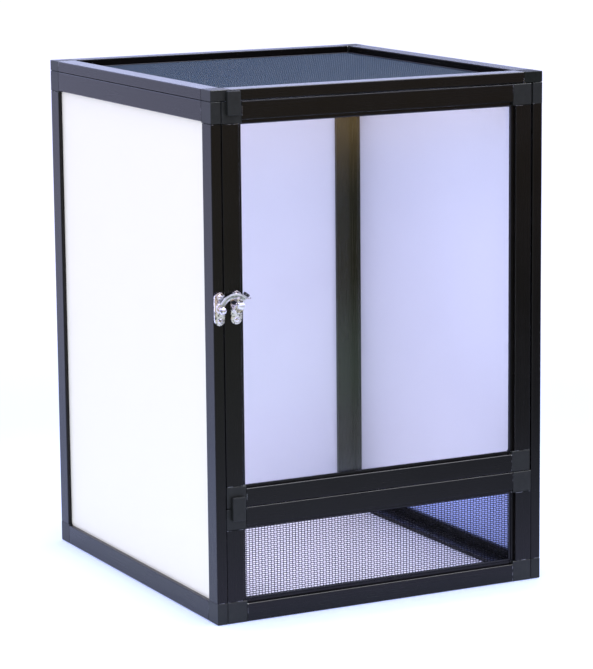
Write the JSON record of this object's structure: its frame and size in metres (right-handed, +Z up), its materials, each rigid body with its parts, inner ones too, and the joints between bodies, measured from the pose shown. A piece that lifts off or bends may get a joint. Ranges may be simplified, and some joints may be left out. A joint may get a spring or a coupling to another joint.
{
  "type": "pvc reptile terrarium",
  "caption": "Upright framed terrarium with white walls, a screen top, a clear side-hinged front door with a crescent latch, and a screened vent below it.",
  "frame": {"origin": "on the ground, in the middle of the whole object's bounding box", "axes": "+Z up, the front with the door faces -Y, +X to the right of someone who looks at the front"},
  "size_m": [0.43, 0.4686, 0.61],
  "materials": {
    "rail": "black anodised, satin",
    "key": "moulded, matt",
    "sheet": "white PVC, satin",
    "pane": "clear",
    "screen": "dark woven screen",
    "latch": "chromed",
    "pin": "plain"
  },
  "bodies": {
    "cabinet": {"left_back_stile": "rail", "left_bottom_rail": "rail", "left_front_stile": "rail", "left_top_rail": "rail", "left_key_bottom_back": "key", "left_key_bottom_front": "key", "left_key_top_back": "key", "left_key_top_front": "key", "left_sheet": "sheet", "right_back_stile": "rail", "right_bottom_rail": "rail", "right_front_stile": "rail", "right_top_rail": "rail", "right_sheet": "sheet", "back_bottom_rail": "rail", "back_left_stile": "rail", "back_right_stile": "rail", "back_top_rail": "rail", "back_sheet": "sheet", "floor_back_rail": "rail", "floor_front_rail": "rail", "floor_left_rail": "rail", "floor_right_rail": "rail", "floor_sheet": "sheet", "top_back_rail": "rail", "top_front_rail": "rail", "top_left_rail": "rail", "top_right_rail": "rail", "top_key_back_left": "key", "top_key_back_right": "key", "top_key_front_left": "key", "top_key_front_right": "key", "top_screen": "screen", "vent_bottom_rail": "rail", "vent_left_stile": "rail", "vent_right_stile": "rail", "vent_top_rail": "rail", "vent_key_bottom_left": "key", "vent_key_bottom_right": "key", "vent_key_top_left": "key", "vent_key_top_right": "key", "vent_screen": "screen", "hinge_pin_lower": "pin", "hinge_pin_upper": "pin", "latch_keeper": "latch"},
    "door": {"door_bottom_rail": "rail", "door_hinge_stile": "rail", "door_latch_stile": "rail", "door_top_rail": "rail", "door_key_bottom_left": "key", "door_key_bottom_right": "key", "door_key_top_left": "key", "door_key_top_right": "key", "door_pane": "pane", "door_stop_bottom": "key", "door_stop_top": "key", "latch_base": "latch", "latch_rivet": "latch"},
    "latch": {"latch_cam": "latch"}
  },
  "joints": [
    {"name": "door_hinge", "type": "hinge", "parent": "cabinet", "child": "door", "pos_m": [0.1933, -0.21665, 0.365], "axis": [0, 0, 1], "range_deg": [0, 115]},
    {"name": "latch_turn", "type": "hinge", "parent": "door", "child": "latch", "pos_m": [-0.1873, -0.22165, 0.3655], "axis": [0, 1, 0], "range_deg": [0, 100]}
  ]
}
